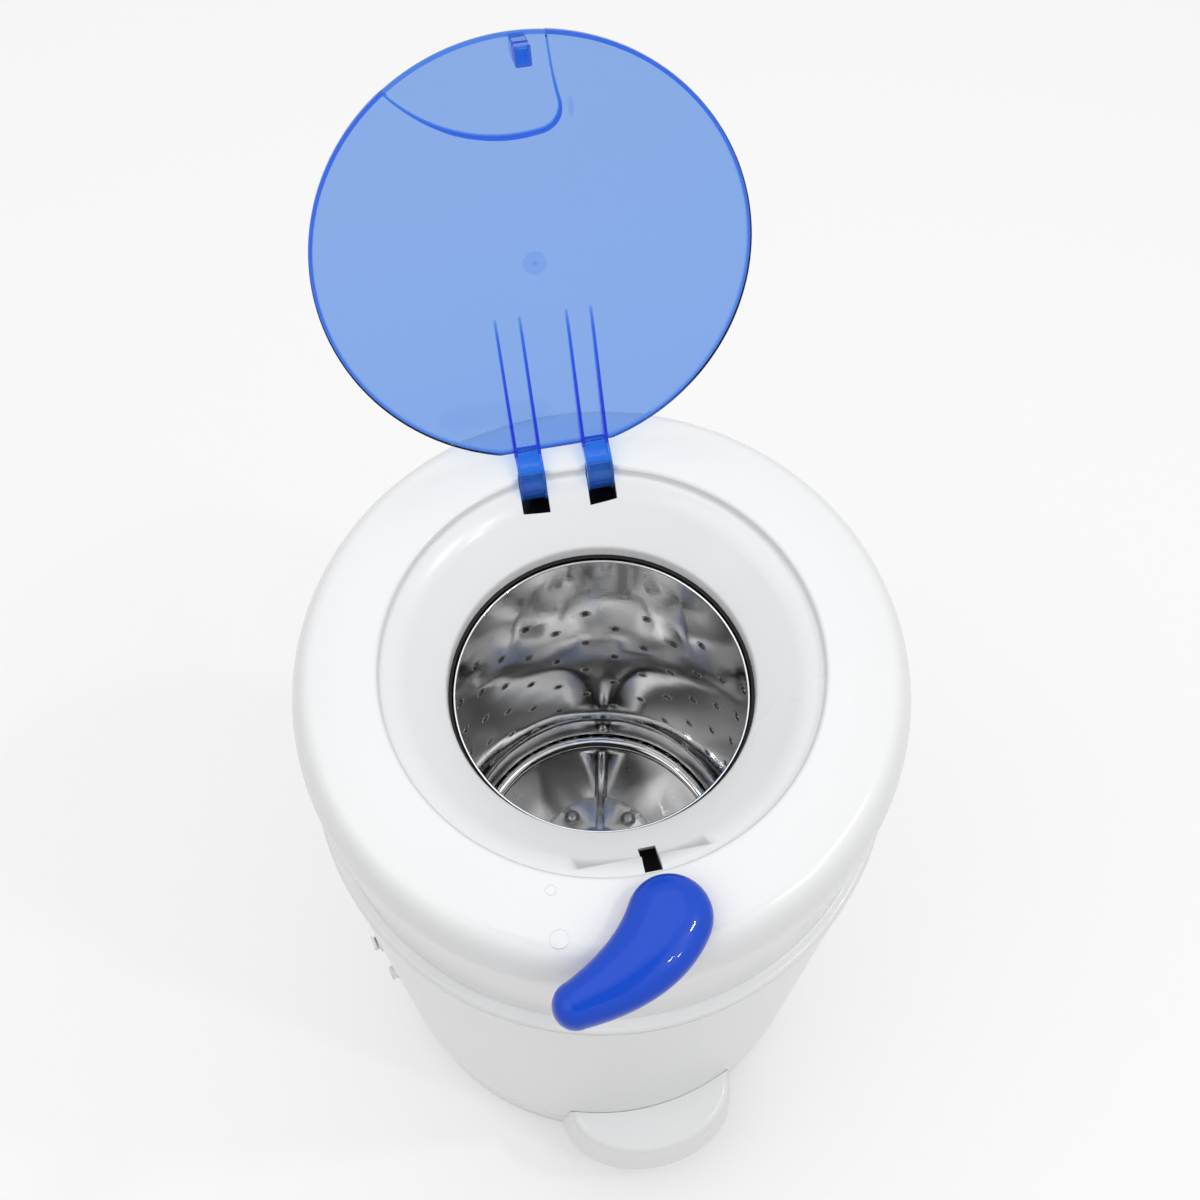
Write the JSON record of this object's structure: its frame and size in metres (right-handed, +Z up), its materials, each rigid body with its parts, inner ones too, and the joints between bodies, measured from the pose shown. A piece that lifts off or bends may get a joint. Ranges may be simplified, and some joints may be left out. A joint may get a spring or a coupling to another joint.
{
  "type": "laundry spin dryer",
  "caption": "Top-loading spin dryer with a hinged clear lid, a swing lever that locks it, a spinning drum, a brake and a front drain spout.",
  "frame": {"origin": "on the floor, under the axis of the drum", "axes": "+Z up along the drum axis, -Y towards the front with the drain spout, +X to the right seen from the front"},
  "size_m": [0.387, 0.497, 0.8833],
  "materials": {
    "white_shell": "glossy moulded white",
    "white_casing": "smooth white enamel",
    "grey_plastic": "satin moulded grey",
    "black_plastic": "satin moulded black",
    "blue_clear": "clear tinted, polished",
    "blue_gloss": "high gloss moulded blue",
    "drum_steel": "mirror polished stainless sheet",
    "bright_steel": "zinc plated",
    "dark_steel": "pressed and plated",
    "cast_aluminium": "die cast",
    "rubber": "matt moulded rubber",
    "copper_iron": "varnished winding and laminations",
    "brake_lining": "fibre lining"
  },
  "bodies": {
    "cabinet": {"base_shell": "white_shell", "drain_spout": "white_shell", "drain_nozzle": "grey_plastic", "drain_hose": "rubber", "rubber_feet": "rubber", "outer_casing": "white_casing", "cord_hooks": "white_shell", "cord_gland": "rubber", "top_cover": "white_shell", "mouth_seal": "rubber", "tub_lid": "grey_plastic", "outer_tub": "grey_plastic", "shaft_seal": "rubber", "motor_housing": "cast_aluminium", "stator": "copper_iron", "motor_bearings": "bright_steel", "motor_bracket": "dark_steel", "rubber_mounts": "rubber", "mount_nuts": "bright_steel", "run_capacitor": "grey_plastic", "capacitor_clip": "dark_steel", "door_switch": "black_plastic", "hinge_pockets": "black_plastic", "hinge_pins": "bright_steel", "latch_guide": "black_plastic", "rod_guides": "dark_steel", "brake_bracket": "dark_steel", "brake_pin": "bright_steel", "cover_screws": "bright_steel", "tub_screws": "bright_steel", "base_screws": "bright_steel", "brake_spring": "bright_steel"},
    "lid": {"lid": "blue_clear"},
    "lever": {"lever_handle": "blue_gloss", "lever_shaft": "grey_plastic", "lever_screw": "bright_steel"},
    "bolt": {"latch_bolt": "bright_steel"},
    "rod": {"brake_rod": "bright_steel"},
    "brake": {"brake_arm": "dark_steel", "brake_shoe": "brake_lining"},
    "drum": {"drum_shell": "drum_steel", "drum_base": "drum_steel", "drum_hub": "drum_steel", "hub_bolts": "bright_steel", "drum_shaft": "bright_steel", "rotor": "copper_iron", "brake_drum": "dark_steel"}
  },
  "joints": [
    {"name": "lid_hinge", "type": "hinge", "parent": "cabinet", "child": "lid", "pos_m": [0, 0.1405, 0.6315], "axis": [1, 0, 0], "range_deg": [0, 115.5]},
    {"name": "lever_turn", "type": "hinge", "parent": "cabinet", "child": "lever", "pos_m": [0.005, -0.1615, 0.64], "axis": [0, 0, -1], "range_deg": [0, 112]},
    {"name": "bolt_slide", "type": "slide", "parent": "cabinet", "child": "bolt", "axis": [0, 1, 0], "range_m": [0, 0.007]},
    {"name": "rod_lift", "type": "slide", "parent": "cabinet", "child": "rod", "axis": [0, 0, 1], "range_m": [0, 0.008], "deforming": ["brake_spring"]},
    {"name": "brake_swing", "type": "hinge", "parent": "cabinet", "child": "brake", "pos_m": [0.0205, -0.075, 0.192], "axis": [-1, 0, 0], "range_deg": [0, 5.3]},
    {"name": "drum_spin", "type": "hinge", "parent": "cabinet", "child": "drum", "pos_m": [0, 0, 0.235], "axis": [0, 0, 1], "continuous": true}
  ],
  "couplings": [
    {"joint": "bolt_slide", "follows": "lever_turn", "m_per_rad": 0.003581},
    {"joint": "rod_lift", "follows": "lever_turn", "m_per_rad": 0.0040926},
    {"joint": "brake_swing", "follows": "lever_turn", "ratio": 0.047313}
  ]
}
